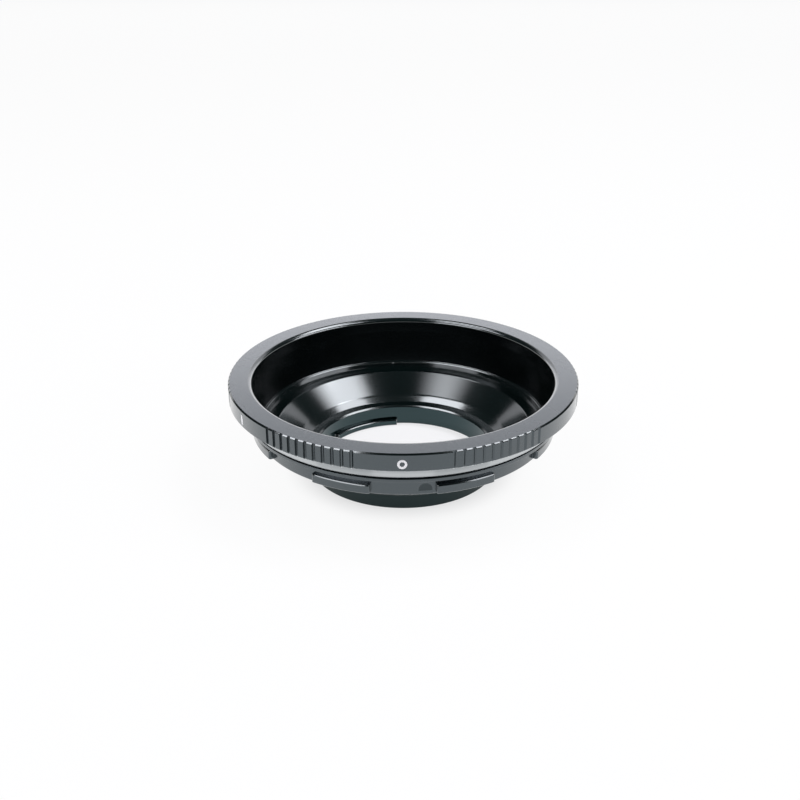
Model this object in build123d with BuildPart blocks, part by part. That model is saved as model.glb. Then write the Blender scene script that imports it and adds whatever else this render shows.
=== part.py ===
"""Lens mount adapter: a grip ring on a funnel body with an outer and an inner bayonet.

Heights are measured up from the foot face, radii from the optical axis, in millimetres.
The index mark of the ring is at the front, towards -Y.
"""
from build123d import *
import math
import os

os.makedirs("parts", exist_ok=True)

# Overall
overall_height = 30.0
front_angle = -90.0

# Grip ring
ring_radius = 52.0
ring_side_height = 5.0
face_chamfer = 0.42
back_chamfer_width = 4.35
back_chamfer_height = 4.25
mouth_round = 1.1

# Grip flutes, in groups between smooth lands
grip_groups = 6
flutes_per_group = 11
flute_pitch = 3.0
flute_width = 1.0
flute_depth = 0.45
flute_run_out = 1.0

# Screwed joint between ring and body
seam_gap = 0.95
seam_depth = 1.2
socket_depth = 5.0
spigot_wall = 0.7
thread_clearance = 0.05

# Outer bayonet: flange, wall and lugs
flange_setback = 0.55
flange_thickness = 1.0
flange_width = 2.9
flange_break = 0.2
wall_height = 5.2
wall_thickness = 0.9
lug_count = 8
lug_span = 21.9
lug_reach = 1.5
lug_thickness = 2.3
lug_gap = 2.3
lug_edge = 0.3
lug_corner = 0.5
lug_overlap = 0.3

# Lock recess in the wall
recess_angle = 7.9
recess_width = 4.1
recess_height = 3.2
recess_depth = 0.35
recess_lift = 0.6

# Ledge and step inside the wall
ledge_rise = 1.85
ledge_width = 0.75
ledge_bevel = 0.5
ledge_break = 0.1
step_width = 4.15

# Cone, tube and inner bayonet at the foot
bore_radius = 26.65
bore_bevel = 0.7
tube_wall = 1.95
tube_length = 4.2
cone_floor = 2.1
cone_rim = 2.55
cone_bevel = 0.9
cone_brink = 0.8
tab_count = 3
tab_span = 50.5
tab_reach = 1.5
tab_thickness = 1.75
tab_edge = 0.3
tab_root = 0.5
channel_depth = 0.4
channel_height = 0.9
channel_overrun = 0.3
channel_corner = 0.3

# Heights that follow from the sizes above
side_foot = overall_height - ring_side_height
lip_height = side_foot - back_chamfer_height
mouth_foot = overall_height - mouth_round
mouth_crest = mouth_round * (1 - math.cos(math.pi / 4))
seat_height = lip_height + socket_depth
flange_top = lip_height - seam_gap
flange_foot = flange_top - flange_thickness
wall_foot = flange_foot - wall_height
lug_top = flange_foot - lug_gap
lug_foot = lug_top - lug_thickness
ledge_height = wall_foot + ledge_rise
cone_foot = tube_length + cone_floor

# Radii that follow, from the rim inwards and from the bore outwards
lip_radius = ring_radius - back_chamfer_width
flange_radius = lip_radius - flange_setback
spigot_radius = flange_radius - seam_depth
socket_radius = spigot_radius + thread_clearance
mouth_radius = spigot_radius - spigot_wall
wall_radius = flange_radius - flange_width
lug_radius = wall_radius + lug_reach
lug_root_radius = wall_radius - lug_overlap
throat_radius = wall_radius - wall_thickness
ledge_radius = throat_radius - ledge_width
cone_top_radius = ledge_radius - step_width
cone_foot_radius = bore_radius + cone_rim
tube_radius = bore_radius + tube_wall
tab_radius = bore_radius - tab_reach

# Places round the axis
lug_angles = [front_angle + (place + 0.5) * 360 / lug_count for place in range(lug_count)]
tab_angles = [place * 360 / tab_count for place in range(tab_count)]
group_span = (flutes_per_group - 1) * flute_pitch
group_pitch = 360 / grip_groups
group_starts = [front_angle + (place + 0.5) * group_pitch - group_span / 2 for place in range(grip_groups)]


def mouth_radius_at(height):
    """Radius of the tapered inner wall at a height."""
    taper = (mouth_radius - throat_radius) / (overall_height - ledge_height)
    return throat_radius + taper * (height - ledge_height)


def corner(sketch, radius, height):
    """Vertex of a profile nearest to a radius and a height."""
    return sketch.vertices().sort_by_distance((radius, height))[0]


def axial_plane(angle):
    """Plane through the optical axis, turned about it by an angle."""
    turn = math.radians(angle)
    along = (math.cos(turn), math.sin(turn), 0)
    normal = (math.sin(turn), -math.cos(turn), 0)
    return Plane((0, 0, 0), x_dir=along, z_dir=normal)


def sector_lines(inner_radius, outer_radius, span):
    """Outline of a ring sector that is centred on the X axis."""
    inner = CenterArc((0, 0), inner_radius, -span / 2, span)
    outer = CenterArc((0, 0), outer_radius, -span / 2, span)
    Line(inner @ 0, outer @ 0)
    Line(inner @ 1, outer @ 1)


def around(angles):
    """Locations turned about the optical axis."""
    return [Location((0, 0, 0), (0, 0, angle)) for angle in angles]


# Grip ring: turned section, then the flutes
with BuildPart() as grip_ring:
    with BuildSketch(Plane.XZ) as ring_section:
        with BuildLine():
            Polyline(
                (mouth_radius_at(seat_height), seat_height),
                (mouth_radius_at(mouth_foot), mouth_foot),
                (mouth_radius + mouth_crest, overall_height - mouth_crest),
                (mouth_radius + mouth_round, overall_height),
                (ring_radius, overall_height),
                (ring_radius, side_foot),
                (lip_radius, lip_height),
                (socket_radius, lip_height),
                (socket_radius, seat_height),
                close=True,
            )
        make_face()
        chamfer(corner(ring_section, ring_radius, overall_height), face_chamfer)
    revolve(axis=Axis.Z)
    flute_foot = side_foot - flute_run_out
    flute_top = overall_height + flute_run_out
    with Locations((0, 0, (flute_foot + flute_top) / 2)):
        for start in group_starts:
            with PolarLocations(ring_radius, flutes_per_group, start, group_span, endpoint=True):
                Box(2 * flute_depth, flute_width, flute_top - flute_foot, mode=Mode.SUBTRACT)
grip_ring.part.label = "grip_ring"
export_step(grip_ring.part, "parts/grip_ring.step")

# Cutter for the lock recess: a domed prism held to a thin skin of the wall
with BuildPart() as lock_recess:
    recess_foot = wall_foot + recess_lift
    dome_centre = recess_foot + recess_height - recess_width / 2
    with BuildSketch(Plane.YZ):
        with Locations((0, dome_centre)):
            Circle(recess_width / 2)
        with Locations((0, (dome_centre + recess_foot) / 2)):
            Rectangle(recess_width, dome_centre - recess_foot)
        with Locations((0, recess_foot - recess_width)):
            Rectangle(2 * recess_width, 2 * recess_width, mode=Mode.SUBTRACT)
    extrude(amount=wall_radius + recess_depth)
    with BuildSketch():
        Circle(wall_radius - recess_depth)
    extrude(amount=overall_height, mode=Mode.SUBTRACT)

# Plan outlines of one lug and of one channel over a tab
with BuildSketch() as lug_sector:
    with BuildLine():
        sector_lines(lug_root_radius, lug_radius, lug_span)
    make_face()
    chamfer(lug_sector.vertices().sort_by_distance((0, 0))[-2:], lug_corner)
with BuildSketch() as channel_plan:
    with BuildLine():
        sector_lines(tab_radius, bore_radius + channel_depth, tab_span + 2 * channel_overrun)
    make_face()
    fillet(channel_plan.vertices().sort_by_distance((0, 0))[-2:], channel_corner)

# Ring of lugs: plan outlines held to a turned section with broken edges
with BuildPart() as lug_ring:
    with BuildSketch(Plane.XZ) as lug_section:
        with BuildLine():
            Polyline(
                (lug_root_radius, lug_foot),
                (lug_radius, lug_foot),
                (lug_radius, lug_top),
                (lug_root_radius, lug_top),
                close=True,
            )
        make_face()
        chamfer(corner(lug_section, lug_radius, lug_top), lug_edge)
        chamfer(corner(lug_section, lug_radius, lug_foot), lug_edge)
    revolve(axis=Axis.Z)
    with BuildSketch(Plane.XY.offset(lug_foot)):
        with Locations(around(lug_angles)):
            add(lug_sector.sketch)
    extrude(amount=lug_thickness, mode=Mode.INTERSECT)

# Funnel body: turned section, lugs and lock recess on the wall, channels and tabs at the foot
with BuildPart() as funnel_body:
    with BuildSketch(Plane.XZ) as body_section:
        with BuildLine():
            Polyline(
                (mouth_radius_at(seat_height), seat_height),
                (throat_radius, ledge_height),
                (ledge_radius, ledge_height),
                (ledge_radius, wall_foot),
                (cone_top_radius, wall_foot),
                (cone_foot_radius, cone_foot),
                (bore_radius, cone_foot),
                (bore_radius, 0),
                (tube_radius, 0),
                (tube_radius, tube_length),
                (wall_radius, wall_foot),
                (wall_radius, flange_foot),
                (flange_radius, flange_foot),
                (flange_radius, flange_top),
                (spigot_radius, flange_top),
                (spigot_radius, seat_height),
                close=True,
            )
        make_face()
        chamfer(corner(body_section, throat_radius, ledge_height), ledge_bevel)
        chamfer(corner(body_section, cone_foot_radius, cone_foot), cone_bevel)
        chamfer(corner(body_section, bore_radius, cone_foot), bore_bevel)
        chamfer(corner(body_section, ledge_radius, ledge_height), ledge_break)
        chamfer(corner(body_section, cone_top_radius, wall_foot), cone_brink)
        chamfer(corner(body_section, flange_radius, flange_foot), flange_break)
        chamfer(corner(body_section, flange_radius, flange_top), flange_break)
    revolve(axis=Axis.Z)
    add(lug_ring.part)
    add(lock_recess.part, rotation=(0, 0, front_angle + recess_angle), mode=Mode.SUBTRACT)
    with BuildSketch(Plane.XY.offset(tab_thickness)):
        with Locations(around(tab_angles)):
            add(channel_plan.sketch)
    extrude(amount=channel_height, mode=Mode.SUBTRACT)
    for angle in tab_angles:
        with BuildSketch(axial_plane(angle - tab_span / 2)) as tab_section:
            with BuildLine():
                Polyline(
                    (tab_radius, 0),
                    (bore_radius + tab_root, 0),
                    (bore_radius + tab_root, tab_thickness),
                    (tab_radius, tab_thickness),
                    close=True,
                )
            make_face()
            chamfer(corner(tab_section, tab_radius, 0), tab_edge)
            chamfer(corner(tab_section, tab_radius, tab_thickness), tab_edge)
        revolve(axis=Axis.Z, revolution_arc=tab_span)
funnel_body.part.label = "funnel_body"
export_step(funnel_body.part, "parts/funnel_body.step")
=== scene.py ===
import bpy
import math
from mathutils import Matrix, Quaternion, Vector


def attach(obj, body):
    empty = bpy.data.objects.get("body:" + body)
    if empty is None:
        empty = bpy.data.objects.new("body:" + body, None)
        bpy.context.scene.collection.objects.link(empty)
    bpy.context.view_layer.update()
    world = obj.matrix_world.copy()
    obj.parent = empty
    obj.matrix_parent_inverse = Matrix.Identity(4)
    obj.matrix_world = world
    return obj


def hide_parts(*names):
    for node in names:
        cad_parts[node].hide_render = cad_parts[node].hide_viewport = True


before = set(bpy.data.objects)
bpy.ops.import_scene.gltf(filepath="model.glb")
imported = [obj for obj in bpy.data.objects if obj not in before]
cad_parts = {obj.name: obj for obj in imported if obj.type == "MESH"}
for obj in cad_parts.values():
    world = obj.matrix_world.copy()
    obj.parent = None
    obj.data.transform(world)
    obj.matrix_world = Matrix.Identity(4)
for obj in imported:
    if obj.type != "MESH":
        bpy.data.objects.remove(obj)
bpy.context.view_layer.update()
print("frame loaded:", sorted(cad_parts))

# sizes of the pieces are in millimetres, angles in degrees from the front (-Y), positive to the right
mm = 0.001
near = 0.001  # points that lie closer count as the same


def around(angle, radius, height):
    turn = math.radians(angle)
    return Vector((radius * math.sin(turn), -radius * math.cos(turn), height)) * mm


mostReach = 0.48  # share of a side that one rounding may take


# corners are (radius, height, rounding, steps); a rounding of 0 keeps the point as it is
def roundedLoop(corners):
    points = []
    for place, (radius, height, rounding, steps) in enumerate(corners):
        here = Vector((radius, height))
        before = Vector(corners[place - 1][:2]) - here
        after = Vector(corners[(place + 1) % len(corners)][:2]) - here
        if rounding == 0:
            points.append(here)
            continue
        half = before.angle(after) / 2
        reach = min(rounding / math.tan(half), mostReach * before.length, mostReach * after.length)
        bend = reach * math.tan(half)
        centre = here + (before.normalized() + after.normalized()).normalized() * (bend / math.sin(half))
        start = here + before.normalized() * reach - centre
        end = here + after.normalized() * reach - centre
        sweep = start.angle_signed(end)
        for step in range(steps + 1):
            spun = Vector((start.x, start.y))
            spun.rotate(Matrix.Rotation(-sweep * step / steps, 2))
            points.append(centre + spun)
    return points


crease = 35  # edges that turn by more stay sharp
flatWeight = 60  # how much large faces lead the normals of fine edges


# a closed ring skin, or a capped sector, from one section loop at each angle
def sweptSkin(name, angles, sectionAt, closed=True):
    verts = []
    faces = []
    for angle in angles:
        verts.extend(around(angle, point.x, point.y) for point in sectionAt(angle))
    count = len(verts) // len(angles)
    spans = len(angles) if closed else len(angles) - 1
    for span in range(spans):
        here = span * count
        there = (span + 1) % len(angles) * count
        for place in range(count):
            beside = (place + 1) % count
            faces.append((here + place, here + beside, there + beside, there + place))
    if not closed:
        last = (len(angles) - 1) * count
        faces.append(tuple(range(count - 1, -1, -1)))
        faces.append(tuple(last + place for place in range(count)))
    return meshPiece(name, verts, faces)


def meshPiece(name, verts, faces):
    mesh = bpy.data.meshes.new(name)
    mesh.from_pydata(verts, [], faces)
    mesh.validate()
    mesh.polygons.foreach_set("use_smooth", [True] * len(mesh.polygons))
    mesh.set_sharp_from_angle(angle=math.radians(crease))
    piece = bpy.data.objects.new(name, mesh)
    bpy.context.scene.collection.objects.link(piece)
    evenNormals = piece.modifiers.new("evenNormals", "WEIGHTED_NORMAL")
    evenNormals.weight = flatWeight
    evenNormals.keep_sharp = True
    return piece


# one socket of a shader tree, so that masks can be written as sums
class Socket:
    def __init__(self, paint, link):
        self.paint = paint
        self.link = link

    def combine(self, operation, first, second):
        return self.paint.node("ShaderNodeMath", {"operation": operation}, {0: first, 1: second})

    def __add__(self, other):
        return self.combine("ADD", self, other)

    def __radd__(self, other):
        return self.combine("ADD", other, self)

    def __sub__(self, other):
        return self.combine("SUBTRACT", self, other)

    def __rsub__(self, other):
        return self.combine("SUBTRACT", other, self)

    def __mul__(self, other):
        return self.combine("MULTIPLY", self, other)

    def __rmul__(self, other):
        return self.combine("MULTIPLY", other, self)


# the shader tree of a material or a lamp
class Paint:
    def __init__(self, owner, shader="Principled BSDF"):
        owner.use_nodes = True
        self.owner = owner
        self.tree = owner.node_tree
        self.shader = self.tree.nodes[shader]

    # a node by its type; settings go first, then the values or links of its sockets
    def node(self, kind, settings, sockets, output=0):
        made = self.tree.nodes.new(kind)
        for key, value in settings.items():
            setattr(made, key, value)
        for key, value in sockets.items():
            self.feed(made.inputs[key], value)
        return Socket(self, made.outputs[output])

    def feed(self, target, value):
        if isinstance(value, Socket):
            self.tree.links.new(value.link, target)
        else:
            target.default_value = value

    def finish(self, values):
        for key, value in values.items():
            self.feed(self.shader.inputs[key], value)
        return self.owner


def objectSpot(paint):
    return paint.node("ShaderNodeTexCoord", {}, {}, "Object")


def noise(paint, scale):
    sockets = {"Vector": objectSpot(paint), "Scale": scale, "Detail": wear["detail"]}
    return paint.node("ShaderNodeTexNoise", {"noise_dimensions": "3D"}, sockets)


def blend(paint, mask, first, second):
    return paint.node("ShaderNodeMix", {"data_type": "RGBA"}, {"Factor": mask, 6: first, 7: second}, 2)


# black finishes on the turned metal: satin outside, gloss in the cone and on fine edges, plain in the bore,
# matte in the throat, dull in the lock recess and on the tube
satin = {
    "dark": (0.002, 0.0038, 0.005, 1),
    "pale": (0.0042, 0.0062, 0.0078, 1),
    "ior": 1.78,
    "sheen": (0.7, 0.88, 0.98, 1),
    "rough": 0.27,
    "roughSpread": 0.04,
    "coat": 1.0,
    "coatRough": 0.14,
}
gloss = {
    "dark": (0.0006, 0.003, 0.003, 1),
    "pale": (0.001, 0.0044, 0.0044, 1),
    "ior": 1.85,
    "sheen": (0.92, 1.0, 1.0, 1),
    "rough": 0.155,
    "roughSpread": 0.03,
    "coat": 1.0,
    "coatRough": 0.12,
}
plain = {
    "dark": (0.0008, 0.007, 0.008, 1),
    "pale": (0.0014, 0.01, 0.0112, 1),
    "ior": 1.66,
    "sheen": (0.68, 1.0, 1.04, 1),
    "rough": 0.15,
    "roughSpread": 0.03,
    "coat": 0.0,
    "coatRough": 0.1,
}
matte = {
    "dark": (0.0006, 0.0011, 0.0011, 1),
    "pale": (0.001, 0.0018, 0.0018, 1),
    "ior": 1.36,
    "sheen": (0.8, 0.95, 1.0, 1),
    "rough": 0.2,
    "roughSpread": 0.04,
    "coat": 0.0,
    "coatRough": 0.4,
}
pocket = {
    "dark": (0.002, 0.0038, 0.005, 1),
    "pale": (0.004, 0.006, 0.0075, 1),
    "ior": 1.68,
    "sheen": (0.8, 0.95, 1.0, 1),
    "rough": 0.3,
    "roughSpread": 0.08,
    "coat": 0.0,
    "coatRough": 0.2,
}
tube = {
    "dark": (0.002, 0.007, 0.0075, 1),
    "pale": (0.003, 0.009, 0.0096, 1),
    "ior": 1.42,
    "sheen": (0.75, 1.0, 1.02, 1),
    "rough": 0.34,
    "roughSpread": 0.06,
    "coat": 0.0,
    "coatRough": 0.3,
}
wear = {"cloudScale": 90, "lineScale": 7000, "lineDepth": 0.0000003, "detail": 2}


# fine lines left by turning: they run round the axis, spaced along the section
def turnedLines(paint):
    spot = objectSpot(paint)
    level = paint.node("ShaderNodeVectorMath", {"operation": "MULTIPLY"}, {0: spot, 1: (1, 1, 0)})
    away = paint.node("ShaderNodeVectorMath", {"operation": "LENGTH"}, {0: level}, "Value")
    height = paint.node("ShaderNodeSeparateXYZ", {}, {0: spot}, "Z")
    sockets = {"W": away + height, "Scale": wear["lineScale"], "Detail": wear["detail"]}
    return paint.node("ShaderNodeTexNoise", {"noise_dimensions": "1D"}, sockets)


def lineBump(paint, lines):
    return paint.node("ShaderNodeBump", {}, {"Strength": 1.0, "Distance": wear["lineDepth"], "Height": lines})


def blackFinish(name, finish):
    paint = Paint(bpy.data.materials.new(name))
    cloud = noise(paint, wear["cloudScale"])
    lines = turnedLines(paint)
    return paint.finish({
        "Base Color": blend(paint, cloud, finish["dark"], finish["pale"]),
        "Roughness": finish["rough"] + finish["roughSpread"] * (cloud - 0.5),
        "IOR": finish["ior"],
        "Specular Tint": finish["sheen"],
        "Coat Weight": finish["coat"],
        "Coat Roughness": finish["coatRough"],
        "Normal": lineBump(paint, lines),
    })


satinBlack = blackFinish("satinBlack", satin)
glossBlack = blackFinish("glossBlack", gloss)
plainBlack = blackFinish("plainBlack", plain)
matteBlack = blackFinish("matteBlack", matte)
pocketBlack = blackFinish("pocketBlack", pocket)
tubeBlack = blackFinish("tubeBlack", tube)

# the cove under the grip is bright metal
bevelMetal = {"dark": (0.54, 0.57, 0.59, 1), "pale": (0.64, 0.67, 0.685, 1), "rough": 0.36}


def brightMetal():
    paint = Paint(bpy.data.materials.new("brightMetal"))
    lines = turnedLines(paint)
    return paint.finish({
        "Base Color": blend(paint, lines, bevelMetal["dark"], bevelMetal["pale"]),
        "Metallic": 1.0,
        "Roughness": bevelMetal["rough"],
        "Normal": lineBump(paint, lines),
    })


brightCove = brightMetal()


# each face takes the finish that pick gives for its place and direction
def dress(piece, finishes, pick):
    for finish in finishes:
        piece.data.materials.append(finish)
    for face in piece.data.polygons:
        radius = math.hypot(face.center.x, face.center.y)
        outward = (face.normal.x * face.center.x + face.normal.y * face.center.y) / radius
        face.material_index = pick(radius / mm, face.center.z / mm, outward, face.normal.z)


whitePaint = {"dark": (0.93, 0.93, 0.92, 1), "pale": (0.98, 0.98, 0.97, 1), "rough": 0.5, "cloudScale": 900}


def markWhite():
    paint = Paint(bpy.data.materials.new("markPaint"))
    cloud = noise(paint, whitePaint["cloudScale"])
    return paint.finish({
        "Base Color": blend(paint, cloud, whitePaint["dark"], whitePaint["pale"]),
        "Roughness": whitePaint["rough"],
    })


markFinish = markWhite()
print("finishes made")

# grip ring
ring = {
    "radius": 52.0,
    "top": 30.0,
    "sideFoot": 25.0,
    "lipRadius": 47.65,
    "lipHeight": 20.75,
    "coveDepth": 0.17,
    "coveSteps": 14,
    "faceChamfer": 0.42,
    "faceBand": 0.5,  # the flat face inside the flutes
    "sideBand": 0.3,  # the flat side over its foot
    "sideRound": 0.13,
    "mouthRadius": 44.9,
    "mouthRound": 1.4,
    "mouthSteps": 10,
    "seatRadius": 44.645,
    "seatHeight": 25.75,
    "socketRadius": 45.95,
    "edge": 0.07,
}
flute = {
    "groups": 6,
    "count": 11,
    "pitch": 3.0,
    "width": 1.05,
    "depth": 0.5,
    "steep": 0.07,
    "bottom": 0.45,
    "lip": 0.05,
    "slopeShares": (0, 0.3, 0.6, 0.9),
    "landSteps": 21,
}


def coveLine():
    top = Vector((ring["radius"], ring["sideFoot"]))
    foot = Vector((ring["lipRadius"], ring["lipHeight"]))
    out = Vector((top.y - foot.y, foot.x - top.x)).normalized()
    points = []
    for step in range(1, ring["coveSteps"]):
        share = step / ring["coveSteps"]
        point = top.lerp(foot, share) - out * 4 * ring["coveDepth"] * share * (1 - share)
        points.append((point.x, point.y, 0, 0))
    return points


def ringCorners():
    chamfer = ring["faceChamfer"]
    edge = ring["edge"]
    return [
        (ring["seatRadius"], ring["seatHeight"], 0, 0),
        (ring["mouthRadius"], ring["top"], ring["mouthRound"], ring["mouthSteps"]),
        (ring["radius"] - flute["depth"] - ring["faceBand"], ring["top"], 0, 0),
        (ring["radius"] - flute["depth"], ring["top"], 0, 0),
        (ring["radius"] - chamfer, ring["top"], edge, 3),
        (ring["radius"], ring["top"] - chamfer, edge, 3),
        (ring["radius"], ring["sideFoot"] + ring["sideBand"], 0, 0),
        (ring["radius"], ring["sideFoot"], ring["sideRound"], 4),
        *coveLine(),
        (ring["lipRadius"], ring["lipHeight"], edge, 3),
        (ring["socketRadius"], ring["lipHeight"], 0, 0),
        (ring["socketRadius"], ring["seatHeight"], 0, 0),
    ]


ringLoop = roundedLoop(ringCorners())


# depth of a flute by the arc distance from its left edge: a steep wall, a flat bottom and a slope out
def fluteDepth(along):
    slope = flute["width"] - flute["steep"] - flute["bottom"]
    down = flute["depth"] * along / flute["steep"]
    out = flute["depth"] * (flute["width"] - along) / slope
    return max(0, min(down, flute["depth"], out))


def fluteAngles():
    lip = flute["lip"]
    wall = flute["steep"]
    slopeStart = wall + flute["bottom"]
    width = flute["width"]
    slopeSteps = [slopeStart + (width - slopeStart) * share for share in flute["slopeShares"]]
    stops = [-lip, 0, wall / 2, wall, wall + lip, (wall + slopeStart) / 2, *slopeSteps, width, width + lip]
    depths = {}
    groupPitch = 360 / flute["groups"]
    groupSpan = (flute["count"] - 1) * flute["pitch"]
    for group in range(flute["groups"]):
        start = (group + 0.5) * groupPitch - groupSpan / 2
        for count in range(flute["count"]):
            middle = start + count * flute["pitch"]
            for stop in stops:
                depths[middle + math.degrees((stop - width / 2) / ring["radius"])] = fluteDepth(stop)
        landStart = start + groupSpan + flute["pitch"] / 2
        landSpan = groupPitch - groupSpan - flute["pitch"]
        for step in range(flute["landSteps"] + 1):
            depths[landStart + landSpan * step / flute["landSteps"]] = 0
    return depths


fluteCuts = fluteAngles()


def ringSection(angle):
    limit = ring["radius"] - fluteCuts[angle]
    return [Vector((min(point.x, limit), point.y)) for point in ringLoop]


gripRing = sweptSkin("gripRing", sorted(fluteCuts), ringSection)


inward = -0.02  # faces that lean less count as flat or upright
ringLean = {"cove": 0.4, "throat": 0.2, "chamfer": 0.5}


# finish numbers: 0 outside, 1 rounding and chamfer, 2 cove, 3 throat
def ringZone(radius, height, outward, upward):
    lean = ringLean["cove"]
    if upward < -lean and outward > lean and ring["lipHeight"] < height < ring["sideFoot"]:
        return 2
    if outward < inward and upward < ringLean["throat"]:
        return 3
    chamfer = min(outward, upward) > ringLean["chamfer"]
    return 1 if outward < inward or chamfer else 0


dress(gripRing, [satinBlack, glossBlack, brightCove, matteBlack], ringZone)
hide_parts("grip_ring")
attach(gripRing, "root")
print("grip ring made:", len(gripRing.data.polygons), "faces")

# white index marks on the grip's side, a ring at the front and a bar to its left
mark = {
    "turn": -0.3,
    "height": 27.0,
    "outer": 1.32,
    "inner": 0.68,
    "proud": 0.025,
    "sunk": 0.08,
    "edge": 0.02,
    "steps": 64,
}
bar = {"angle": -60, "top": 28.5, "foot": 25.65, "width": 1.0, "edge": 0.02, "steps": 6}


def ringMark():
    verts = []
    faces = []
    steps = mark["steps"]
    low = ring["radius"] - mark["sunk"]
    high = ring["radius"] + mark["proud"]
    rim = mark["edge"]
    section = [
        (mark["inner"], low), (mark["outer"], low), (mark["outer"], high - rim),
        (mark["outer"] - rim, high), (mark["inner"] + rim, high), (mark["inner"], high - rim),
    ]
    for step in range(steps):
        turn = 2 * math.pi * step / steps
        for away, radius in section:
            angle = mark["turn"] + math.degrees(away * math.sin(turn) / ring["radius"])
            verts.append(around(angle, radius, mark["height"] + away * math.cos(turn)))
    count = len(section)
    for step in range(steps):
        here = step * count
        there = (step + 1) % steps * count
        for spot in range(count):
            beside = (spot + 1) % count
            faces.append((here + spot, there + spot, there + beside, here + beside))
    return meshPiece("indexRing", verts, faces)


def barSection(angle):
    low = ring["radius"] - mark["sunk"]
    high = ring["radius"] + mark["proud"]
    return roundedLoop([
        (low, bar["top"], 0, 0),
        (high, bar["top"], bar["edge"], 3),
        (high, bar["foot"], bar["edge"], 3),
        (low, bar["foot"], 0, 0),
    ])


halfBar = math.degrees(bar["width"] / 2 / ring["radius"])
barAngles = [bar["angle"] + halfBar * (2 * step / bar["steps"] - 1) for step in range(bar["steps"] + 1)]
for piece in (ringMark(), sweptSkin("indexBar", barAngles, barSection, False)):
    piece.data.materials.append(markFinish)
    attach(piece, "root")
print("index marks made")

# funnel body
body = {
    "spigotRadius": 45.9,
    "flangeRadius": 47.1,
    "flangeTop": 19.8,
    "flangeFoot": 18.8,
    "wallRadius": 44.2,
    "wallFoot": 13.6,
    "wallRound": 0.35,
    "rowCount": 30,  # rows of points up the wall, for the lock recess
    "rowStart": 0.4,
    "rowPitch": 0.14,
    "throatRadius": 43.3,
    "throatRound": 0.3,
    "ledgeHeight": 15.45,
    "ledgeRadius": 42.55,
    "ledgeDrop": 0.18,
    "ledgeBevel": 0.32,
    "ledgeRound": 0.08,
    "stepRise": 0.25,
    "cornerRound": 0.1,
    "coneTop": 38.4,
    "coneTopRound": 0.9,
    "coneKnee": 31.9,
    "kneeHeight": 7.93,
    "kneeRound": 6,
    "coneFoot": 29.6,
    "footHeight": 6.62,
    "coneHem": 28.3,
    "hemRound": 1.5,
    "floor": 6.3,
    "boreRadius": 26.65,
    "boreDrop": 0.38,
    "boreBevel": 0.68,
    "boreRound": 0.25,
    "tubeRadius": 28.6,
    "tubeLength": 4.2,
    "tubeRound": 0.3,
    "tubeEdge": 0.192,
    "edge": 0.12,
    "anglePitch": 1.0,
}
recess = {
    "angle": 7.8,
    "width": 4.9,
    "foot": 14.0,
    "height": 3.4,
    "depth": 0.14,
    "border": 1.1,
    "margin": 0.3,  # degrees past its sides
    "steps": 48,
}
tab = {
    "count": 3,
    "first": 90,
    "span": 50.5,
    "radius": 25.15,
    "top": 1.75,
    "foot": 0.03,
    "edge": 0.3,
    "edgeHeight": 0.17,
    "corner": 0.25,
    "fillet": 0.3,
    "sunk": 0.4,
}
channel = {"depth": 0.4, "foot": 1.74, "top": 2.4, "overrun": 0.3, "soft": 0.06, "endWall": 0.05}


def wallRows():
    start = body["wallFoot"] + body["rowStart"]
    return [(body["wallRadius"], start + row * body["rowPitch"], 0, 0) for row in range(body["rowCount"])]


def bodyCorners():
    edge = body["edge"]
    bore = body["boreRadius"]
    ledge = body["ledgeRadius"]
    return [
        (ring["seatRadius"], ring["seatHeight"], 0, 0),
        (body["spigotRadius"], ring["seatHeight"], 0, 0),
        (body["spigotRadius"], body["flangeTop"], body["cornerRound"], 2),
        (body["flangeRadius"], body["flangeTop"], edge, 3),
        (body["flangeRadius"], body["flangeFoot"], edge, 3),
        (body["wallRadius"], body["flangeFoot"], edge, 3),
        *wallRows()[::-1],
        (body["wallRadius"], body["wallFoot"], body["wallRound"], 5),
        (body["tubeRadius"], body["tubeLength"], body["tubeRound"], 4),
        (body["tubeRadius"], 0, body["tubeEdge"], 4),
        (bore, 0, edge, 3),
        (bore, channel["foot"] - channel["soft"], 0, 0),
        (bore, channel["foot"], 0, 0),
        (bore, channel["top"], 0, 0),
        (bore, channel["top"] + channel["soft"], 0, 0),
        (bore, body["floor"] - body["boreDrop"], body["boreRound"], 5),
        (bore + body["boreBevel"], body["floor"], body["boreRound"], 4),
        (body["coneHem"], body["floor"], body["hemRound"], 5),
        (body["coneFoot"], body["footHeight"], body["hemRound"], 5),
        (body["coneKnee"], body["kneeHeight"], body["kneeRound"], 6),
        (body["coneTop"], body["wallFoot"], body["coneTopRound"], 6),
        (ledge, body["wallFoot"] + body["stepRise"], body["cornerRound"], 2),
        (ledge, body["ledgeHeight"] - body["ledgeDrop"], body["ledgeRound"], 4),
        (ledge + body["ledgeBevel"], body["ledgeHeight"], body["ledgeRound"], 3),
        (body["throatRadius"], body["ledgeHeight"], body["throatRound"], 5),
    ]


bodyLoop = roundedLoop(bodyCorners())


# the recess is a shallow pocket with a round top, a flat foot and soft borders
def recessDepth(angle, height):
    across = math.radians(angle - recess["angle"]) * body["wallRadius"]
    half = recess["width"] / 2
    domeHeight = recess["foot"] + recess["height"] - half
    inside = half - math.hypot(across, max(0, height - domeHeight))
    inside = min(inside, height - recess["foot"])
    share = min(1, max(0, inside / recess["border"]))
    return recess["depth"] * share * share * (3 - 2 * share)


channelHalf = tab["span"] / 2 + channel["overrun"]


def channelDepth(angle, height):
    turn = (angle - tab["first"] + 180 / tab["count"]) % (360 / tab["count"]) - 180 / tab["count"]
    level = channel["foot"] - near <= height <= channel["top"] + near
    return channel["depth"] if level and abs(turn) < channelHalf else 0


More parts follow.
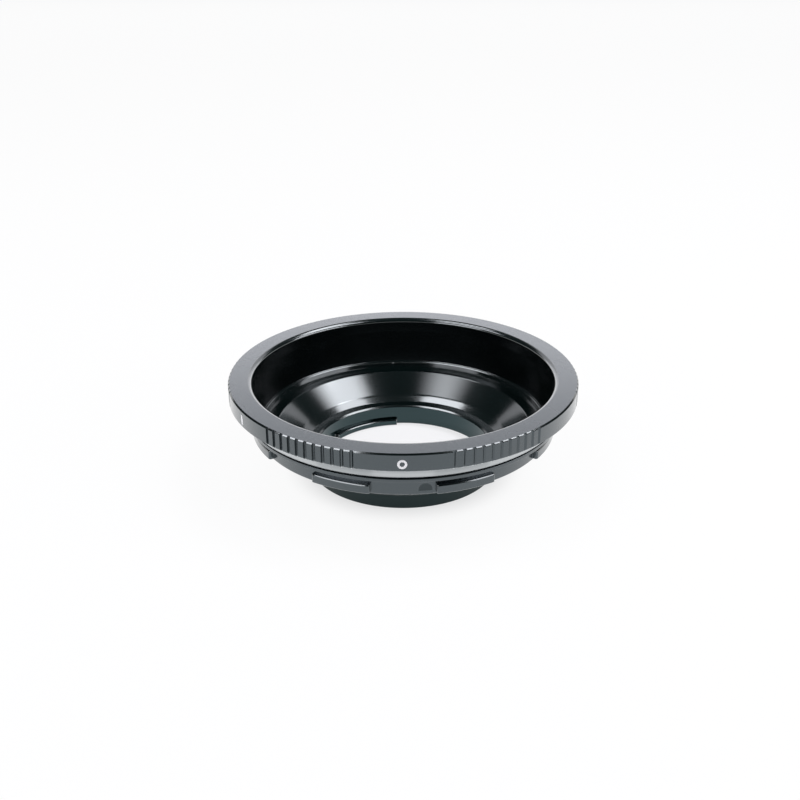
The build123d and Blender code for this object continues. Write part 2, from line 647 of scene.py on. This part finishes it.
def bodySection(angle):
    points = []
    for point in bodyLoop:
        radius = point.x
        if abs(radius - body["wallRadius"]) < near:
            radius -= recessDepth(angle, point.y)
        if abs(radius - body["boreRadius"]) < near:
            radius += channelDepth(angle, point.y)
        points.append(Vector((radius, point.y)))
    return points


# even angles, closer ones over the recess, and a pair at each end of a channel for its end wall
bodyAngles = {step * body["anglePitch"] for step in range(round(360 / body["anglePitch"]))}
halfRecess = math.degrees(recess["width"] / 2 / body["wallRadius"]) + recess["margin"]
for step in range(recess["steps"] + 1):
    bodyAngles.add(recess["angle"] + halfRecess * (2 * step / recess["steps"] - 1))
for number in range(tab["count"]):
    middle = tab["first"] + number * 360 / tab["count"]
    for end in (-channelHalf, channelHalf):
        bodyAngles.add((middle + end - channel["endWall"]) % 360)
        bodyAngles.add((middle + end + channel["endWall"]) % 360)
funnelBody = sweptSkin("funnelBody", sorted(bodyAngles), bodySection)


bodyLean = {"upright": 0.9, "wall": 0.8, "flat": 0.5}
bodyBand = {"throat": 0.5, "bore": 0.4, "pocket": 0.01}  # how far from its edge a finish starts


# finish numbers: 0 outside, 1 cone, step and ledge, 2 throat, 3 bore, 4 tube, 5 lock recess
def bodyZone(radius, height, outward, upward):
    if outward < -bodyLean["upright"] and height > body["ledgeHeight"] + bodyBand["throat"]:
        return 2
    if outward > bodyLean["upright"] and height < body["tubeLength"]:
        return 4
    if outward < -bodyLean["upright"] and height < body["floor"] - bodyBand["bore"]:
        return 3
    sunk = body["wallRadius"] - radius
    inPocket = recess["depth"] / 2 < sunk < recess["depth"] + bodyBand["pocket"]
    if outward > bodyLean["wall"] and inPocket:
        return 5
    flatInside = upward > bodyLean["flat"] and radius < body["throatRadius"]
    return 1 if outward < inward or flatInside else 0


bodyFinishes = [satinBlack, glossBlack, matteBlack, plainBlack, tubeBlack, pocketBlack]
dress(funnelBody, bodyFinishes, bodyZone)
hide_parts("funnel_body")
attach(funnelBody, "root")
print("funnel body made:", len(funnelBody.data.polygons), "faces")

# outer bayonet lugs
lug = {
    "count": 8,
    "span": 21.9,
    "radius": 45.7,
    "top": 16.62,
    "foot": 14.02,
    "edge": 0.15,
    "edgeHeight": 0.3,
    "corner": 0.5,
    "rootFillet": 0.12,
    "sunk": 0.35,
}
endShape = {"sunk": 0.02, "turnSteps": 5, "frontSteps": 20}  # ends of lugs and tabs
edgeShape = {"least": 0.02, "share": 0.4, "fine": 6, "coarse": 4}  # their edges, narrower at a low front


# offset and front of a lug or tab over its end, from the root fillet to the rounded corner
def endSteps(low, high, fillet, corner):
    turns = [math.pi / 2 * step / endShape["turnSteps"] for step in range(endShape["turnSteps"] + 1)]
    root = low - endShape["sunk"]
    steps = [(-fillet * (1 - math.sin(turn)), root + fillet * (1 - math.cos(turn))) for turn in turns]
    steps += [(corner * (1 - math.cos(turn)), high - corner * (1 - math.sin(turn))) for turn in turns]
    return steps


def sectorRadii(span, radius, steps):
    half = span / 2
    count = endShape["frontSteps"]
    radii = {}
    for offset, front in steps:
        radii[-half + math.degrees(offset / radius)] = front
        radii[half - math.degrees(offset / radius)] = front
    inner = half - math.degrees(steps[-1][0] / radius)
    for step in range(1, count):
        radii[-inner + 2 * inner * step / count] = steps[-1][1]
    return radii


def edgeWidth(edge, reach):
    return min(edge, max(edgeShape["least"], reach * edgeShape["share"]))


lugSteps = endSteps(body["wallRadius"], lug["radius"], lug["rootFillet"], lug["corner"])
lugFronts = sectorRadii(lug["span"], lug["radius"], lugSteps)
lugMiddles = [(count + 0.5) * 360 / lug["count"] - 180 for count in range(lug["count"])]


def lugSection(front):
    inner = body["wallRadius"] - lug["sunk"]
    edge = edgeWidth(lug["edge"], front - body["wallRadius"])
    fine = edge / edgeShape["fine"]
    coarse = edge / edgeShape["coarse"]
    return roundedLoop([
        (inner, lug["top"], 0, 0),
        (front - edge, lug["top"], fine, 3),
        (front, lug["top"] - lug["edgeHeight"], fine, 3),
        (front, lug["foot"] + edge, coarse, 3),
        (front - edge, lug["foot"], coarse, 3),
        (inner, lug["foot"], 0, 0),
    ])


lugLean = {"least": 0.3, "most": 0.95}


# the bevel along the top of a lug is glossy
def lugZone(radius, height, outward, upward):
    bevel = outward > lugLean["least"] and lugLean["least"] < upward < lugLean["most"]
    return 1 if bevel else 0


for number, middle in enumerate(lugMiddles):
    fronts = {middle + angle: front for angle, front in lugFronts.items()}
    name = f"bayonetLug{number + 1}"
    piece = sweptSkin(name, sorted(fronts), lambda angle: lugSection(fronts[angle]), False)
    dress(piece, [satinBlack, glossBlack], lugZone)
    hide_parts("funnel_body")
    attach(piece, "root")
print("outer lugs made")

# inner bayonet tabs
tabSteps = endSteps(0, body["boreRadius"] - tab["radius"], tab["fillet"], tab["corner"])
tabReaches = sectorRadii(tab["span"], body["boreRadius"], tabSteps)


def tabSection(reach):
    outer = body["boreRadius"] + tab["sunk"]
    front = body["boreRadius"] - reach
    edge = edgeWidth(tab["edge"], reach)
    fine = edge / edgeShape["fine"]
    return roundedLoop([
        (outer, tab["foot"], 0, 0),
        (front, tab["foot"], edge, 5),
        (front, tab["top"] - tab["edgeHeight"], fine, 3),
        (front + edge, tab["top"], fine, 3),
        (outer, tab["top"], 0, 0),
    ])


tabLean = 0.95


# the inner face of a tab is plain
def tabZone(radius, height, outward, upward):
    return 1 if outward < -tabLean else 0


for number in range(tab["count"]):
    middle = tab["first"] + number * 360 / tab["count"]
    reaches = {middle + angle: reach for angle, reach in tabReaches.items()}
    name = f"bayonetTab{number + 1}"
    piece = sweptSkin(name, sorted(reaches), lambda angle: tabSection(reaches[angle]), False)
    dress(piece, [glossBlack, plainBlack], tabZone)
    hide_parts("funnel_body")
    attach(piece, "root")
print("inner tabs made")

# floor, lights and camera, in metres
floor = {
    "section": ((0.5, 0), (2, 0), (6, 0), (6.4, 0.04), (6.7, 0.15), (6.9, 0.34), (7, 0.6), (7, 1.3)),
    "steps": 96,
    "pale": (0.86, 0.86, 0.87, 1),
    "rough": 0.9,
    "white": (1, 1, 1, 1),
    "nearShare": 0.6,
    "farShare": 0.93,
    "near": 0.024,
    "far": 0.038,
}


# camera, glossy and transmission rays see a share of the floor as plain white, a larger one further out,
# so that the shadow stays faint
def floorFinish():
    paint = Paint(bpy.data.materials.new("floorPaper"))
    paint.finish({"Base Color": floor["pale"], "Roughness": floor["rough"], "Specular IOR Level": 0.0})
    kinds = ("Is Camera Ray", "Is Glossy Ray", "Is Transmission Ray")
    rays = [paint.node("ShaderNodeLightPath", {}, {}, kind) for kind in kinds]
    away = paint.node("ShaderNodeVectorMath", {"operation": "LENGTH"}, {0: objectSpot(paint)}, "Value")
    fade = paint.node("ShaderNodeMapRange", {"interpolation_type": "SMOOTHSTEP"}, {
        "Value": away, "From Min": floor["near"], "From Max": floor["far"],
        "To Min": floor["nearShare"], "To Max": floor["farShare"]})
    glow = paint.node("ShaderNodeEmission", {}, {"Color": floor["white"], "Strength": 1.0})
    seen = (rays[0] + rays[1] + rays[2]) * fade
    lit = Socket(paint, paint.shader.outputs[0])
    surface = paint.node("ShaderNodeMixShader", {}, {0: seen, 1: lit, 2: glow})
    paint.feed(paint.tree.nodes["Material Output"].inputs["Surface"], surface)
    return paint.owner


# a round sheet that turns up at its edge, far outside the lamps
def paperSheet():
    verts = [(0, 0, 0)]
    faces = []
    steps = floor["steps"]
    for radius, height in floor["section"]:
        for step in range(steps):
            turn = 2 * math.pi * step / steps
            verts.append((radius * math.cos(turn), radius * math.sin(turn), height))
    for step in range(steps):
        beside = (step + 1) % steps
        faces.append((0, 1 + step, 1 + beside))
        for row in range(len(floor["section"]) - 1):
            here = 1 + row * steps
            there = here + steps
            faces.append((here + step, there + step, there + beside, here + beside))
    mesh = bpy.data.meshes.new("floor")
    mesh.from_pydata(verts, [], faces)
    mesh.materials.append(floorFinish())
    sheet = bpy.data.objects.new("floor", mesh)
    bpy.context.scene.collection.objects.link(sheet)
    return sheet


floorPiece = paperSheet()

# azimuth runs from the back (+Y) to the right (+X)
lamps = {
    "softboxRight": {
        "azimuth": 85.5, "elevation": 57.2, "away": 0.9,
        "wide": 0.76, "tall": 0.18, "radiance": 5.6, "roll": -30, "soft": 0.36},
    "edgeRight": {
        "azimuth": 103, "elevation": 50, "away": 0.9,
        "wide": 0.66, "tall": 0.17, "radiance": 6.2, "roll": -30},
    "highRight": {
        "azimuth": 54, "elevation": 62, "away": 0.9,
        "wide": 0.4, "tall": 0.25, "radiance": 5.4},
    "edgeLeft": {
        "azimuth": -110, "elevation": 50, "away": 0.9,
        "wide": 0.66, "tall": 0.17, "radiance": 6.2, "roll": 30},
    "haloLeft": {
        "azimuth": -108, "elevation": 63.8, "away": 0.9,
        "wide": 0.62, "tall": 0.17, "radiance": 3.1, "roll": 34, "soft": 0.5},
    "highLeft": {
        "azimuth": -54, "elevation": 68, "away": 0.9,
        "wide": 0.2, "tall": 0.32, "radiance": 6},
    "fillLeft": {
        "azimuth": -134, "elevation": 21.5, "away": 1.2,
        "wide": 0.8, "tall": 0.3, "radiance": 4.6},
    "fillRight": {
        "azimuth": 108, "elevation": 20.5, "away": 1.2,
        "wide": 1.0, "tall": 0.3, "radiance": 4.6},
    "backLow": {
        "azimuth": 0, "elevation": 16, "away": 1.5,
        "wide": 2.6, "tall": 0.45, "radiance": 1.45},
    "backHigh": {
        "azimuth": 0, "elevation": 31, "away": 1.5,
        "wide": 2.6, "tall": 0.36, "radiance": 0.85},
}
lampAim = Vector((0, 0, 0.02))
lampTint = (0.985, 0.98, 1.035)
roomGlow = (0.025, 0.032, 0.033, 1)


# the light fades over a share of the lamp's width at both ends
def softEnds(light, soft):
    paint = Paint(light, "Emission")
    spot = paint.node("ShaderNodeNewGeometry", {}, {}, "Parametric")
    along = paint.node("ShaderNodeSeparateXYZ", {}, {0: spot}, "X")
    smooth = {"interpolation_type": "SMOOTHSTEP"}
    start = paint.node("ShaderNodeMapRange", smooth, {"Value": along, "From Max": soft})
    end = paint.node("ShaderNodeMapRange", smooth, {"Value": 1 - along, "From Max": soft})
    paint.finish({"Color": start * end})


def softbox(name, azimuth, elevation, away, wide, tall, radiance, roll=0, soft=0):
    turn = math.radians(azimuth)
    rise = math.radians(elevation)
    towards = Vector((math.sin(turn) * math.cos(rise), math.cos(turn) * math.cos(rise), math.sin(rise)))
    light = bpy.data.lights.new(name, "AREA")
    light.shape = "RECTANGLE"
    light.size = wide
    light.size_y = tall
    light.energy = radiance * math.pi * wide * tall
    light.color = lampTint
    if soft:
        softEnds(light, soft)
    lamp = bpy.data.objects.new(name, light)
    lamp.location = towards * away + lampAim
    spin = Quaternion((0, 0, 1), math.radians(roll))
    lamp.rotation_euler = (towards.to_track_quat("Z", "Y") @ spin).to_euler()
    lamp.visible_camera = False
    bpy.context.scene.collection.objects.link(lamp)


for name, values in lamps.items():
    softbox(name, **values)

world = bpy.data.worlds.new("studio")
world.use_nodes = True
world.node_tree.nodes["Background"].inputs["Color"].default_value = roomGlow
bpy.context.scene.world = world

# the camera stands at a distance from the middle of the front face; focal is in pixels of the picture
view = {
    "distance": 0.3318,
    "elevation": 23.77,
    "yaw": -0.18,
    "pitch": 25.18,
    "roll": -0.15,
    "focal": 1108.1,
    "pixels": 800,
    "sensor": 36,
    "nearClip": 0.01,
}


def makeCamera():
    rise, yaw, pitch, roll = (math.radians(view[key]) for key in ("elevation", "yaw", "pitch", "roll"))
    ahead = Vector((math.sin(yaw) * math.cos(pitch), math.cos(yaw) * math.cos(pitch), -math.sin(pitch)))
    right = Vector((math.cos(yaw), -math.sin(yaw), 0))
    up = right.cross(ahead)
    spunRight = right * math.cos(roll) + up * math.sin(roll)
    spunUp = up * math.cos(roll) - right * math.sin(roll)
    data = bpy.data.cameras.new("camera")
    data.sensor_width = view["sensor"]
    data.lens = view["focal"] * view["sensor"] / view["pixels"]
    camera = bpy.data.objects.new("camera", data)
    faceMiddle = Vector((0, 0, ring["top"] * mm))
    spot = faceMiddle + Vector((0, -math.cos(rise), math.sin(rise))) * view["distance"]
    axes = Matrix((spunRight, spunUp, -ahead)).transposed().to_4x4()
    camera.matrix_world = Matrix.Translation(spot) @ axes
    data.clip_start = view["nearClip"]
    bpy.context.scene.collection.objects.link(camera)
    bpy.context.scene.camera = camera


makeCamera()
bpy.context.scene.view_settings.view_transform = "Standard"
print("stage, lamps and camera made")
